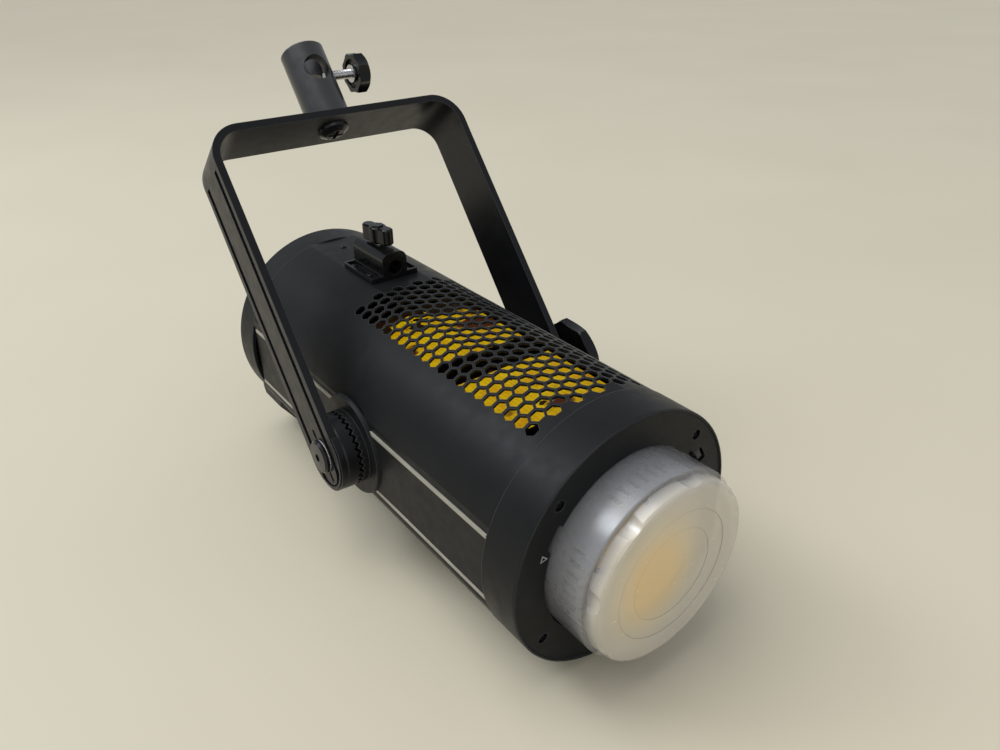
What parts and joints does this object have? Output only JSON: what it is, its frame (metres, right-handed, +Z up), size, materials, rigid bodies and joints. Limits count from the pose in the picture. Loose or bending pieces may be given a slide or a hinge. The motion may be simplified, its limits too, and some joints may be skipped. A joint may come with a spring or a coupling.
{
  "type": "fresnel spotlight",
  "caption": "Compact fanless LED spotlight: vented round-sided barrel, front bayonet mount with a frosted cap, leaning yoke with a lock knob, spigot receiver and umbrella bracket.",
  "frame": {"origin": "centre of the front bayonet mount's face, on the optical axis", "axes": "-Y is the way the light leaves, along the optical axis; +Z is up; +X is the side of the tilt lock knob"},
  "size_m": [0.1971, 0.3561, 0.2702],
  "materials": {
    "body_black": "matt charcoal powder coat",
    "yoke_black": "satin black powder coat, fine texture",
    "trim_bright": "bright machined edge strips",
    "fins_gold": "gold anodised fins",
    "copper": "bare copper pipes and cold plate",
    "steel": "bare steel",
    "steel_black": "blackened steel, polished head",
    "plastic_black": "black moulded plastic, semi-matt",
    "rubber_black": "soft black rubber, matt",
    "white_reflector": "white reflecting funnel",
    "led_yellow": "yellow phosphor on a pale carrier",
    "cap_frosted": "frosted translucent cap",
    "board_green": "circuit board",
    "parts_dark": "driver components",
    "screen_glass": "dark display window",
    "nylon_white": "nylon clamp tips"
  },
  "bodies": {
    "head": {"barrel_shell": "body_black", "front_ring": "body_black", "front_plate": "body_black", "cob_collar": "body_black", "reflector_dish": "white_reflector", "cob_frame": "plastic_black", "cob_led": "led_yellow", "cold_plate": "copper", "heat_pipes": "copper", "fin_stack_front": "fins_gold", "fin_stack_rear": "fins_gold", "chassis_tray": "steel", "driver_board": "board_green", "driver_parts": "parts_dark", "board_posts": "steel", "side_panel_left": "body_black", "side_panel_right": "body_black", "side_trims": "trim_bright", "tilt_collar_left": "body_black", "tilt_collar_right": "body_black", "pivot_screw": "steel_black", "tilt_stud": "steel", "rear_ring": "body_black", "rear_panel": "plastic_black", "screen_window": "screen_glass", "power_inlet": "plastic_black", "inlet_pins": "steel", "switch_bezel": "plastic_black", "rear_foot": "rubber_black", "umbrella_bracket": "yoke_black"},
    "yoke": {"yoke_bar": "yoke_black", "leg_end_cap_left": "body_black", "leg_end_cap_right": "body_black", "thrust_washer_left": "nylon_white", "thrust_washer_right": "nylon_white", "spigot_receiver": "yoke_black", "receiver_screw": "steel_black"},
    "tilt_lock": {"tilt_knob": "plastic_black", "tilt_knob_nut": "steel"},
    "cap": {"protective_cap": "cap_frosted"},
    "mount_release": {"lock_pin": "steel", "release_slider": "plastic_black"},
    "spigot_tip": {"spigot_pad": "nylon_white"},
    "spigot_clamp": {"spigot_screw": "steel", "spigot_knob": "plastic_black"},
    "umbrella_tip": {"umbrella_pad": "nylon_white"},
    "umbrella_clamp": {"umbrella_screw": "steel", "umbrella_knob": "plastic_black"},
    "dial": {"dimmer_dial": "plastic_black"},
    "button_a": {"button_left": "rubber_black"},
    "button_b": {"button_right": "rubber_black"},
    "rocker": {"power_rocker": "plastic_black"}
  },
  "joints": [
    {"name": "yoke_tilt", "type": "hinge", "parent": "head", "child": "yoke", "pos_m": [0, 0.1563, 0], "axis": [1, 0, 0], "range_deg": [-90, 105]},
    {"name": "tilt_lock_turn", "type": "hinge", "parent": "head", "child": "tilt_lock", "pos_m": [0.1, 0.1563, 0], "axis": [1, 0, 0], "range_deg": [0, 180]},
    {"name": "cap_pull", "type": "slide", "parent": "head", "child": "cap", "axis": [0, -1, 0], "range_m": [0, 0.04]},
    {"name": "mount_release_slide", "type": "slide", "parent": "head", "child": "mount_release", "axis": [0, 1, 0], "range_m": [0, 0.0035], "stiffness_N_per_m": 600, "springref_m": -0.0015},
    {"name": "spigot_tip_slide", "type": "slide", "parent": "yoke", "child": "spigot_tip", "axis": [-1, 0, 0], "range_m": [0, 0.003]},
    {"name": "spigot_clamp_turn", "type": "hinge", "parent": "spigot_tip", "child": "spigot_clamp", "pos_m": [0.03, 0.29854, 0.17691], "axis": [-1, 0, 0], "range_deg": [0, 1081]},
    {"name": "umbrella_tip_slide", "type": "slide", "parent": "head", "child": "umbrella_tip", "axis": [0, 0, -1], "range_m": [0, 0.0012]},
    {"name": "umbrella_clamp_turn", "type": "hinge", "parent": "umbrella_tip", "child": "umbrella_clamp", "pos_m": [0, 0.2286, 0.09], "axis": [0, 0, -1], "range_deg": [0, 541]},
    {"name": "dimmer_turn", "type": "hinge", "parent": "head", "child": "dial", "pos_m": [0, 0.32, -0.008], "axis": [0, 1, 0], "continuous": true},
    {"name": "button_a_press", "type": "slide", "parent": "head", "child": "button_a", "axis": [0, -1, 0], "range_m": [0, 0.0008], "stiffness_N_per_m": 1500},
    {"name": "button_b_press", "type": "slide", "parent": "head", "child": "button_b", "axis": [0, -1, 0], "range_m": [0, 0.0008], "stiffness_N_per_m": 1500},
    {"name": "rocker_tip", "type": "hinge", "parent": "head", "child": "rocker", "pos_m": [0.019, 0.3115, -0.041], "axis": [0, 0, 1], "range_deg": [-14, 0]}
  ],
  "couplings": [
    {"joint": "spigot_clamp_turn", "follows": "spigot_tip_slide", "rad_per_m": 6283.2},
    {"joint": "umbrella_clamp_turn", "follows": "umbrella_tip_slide", "rad_per_m": 7854}
  ]
}
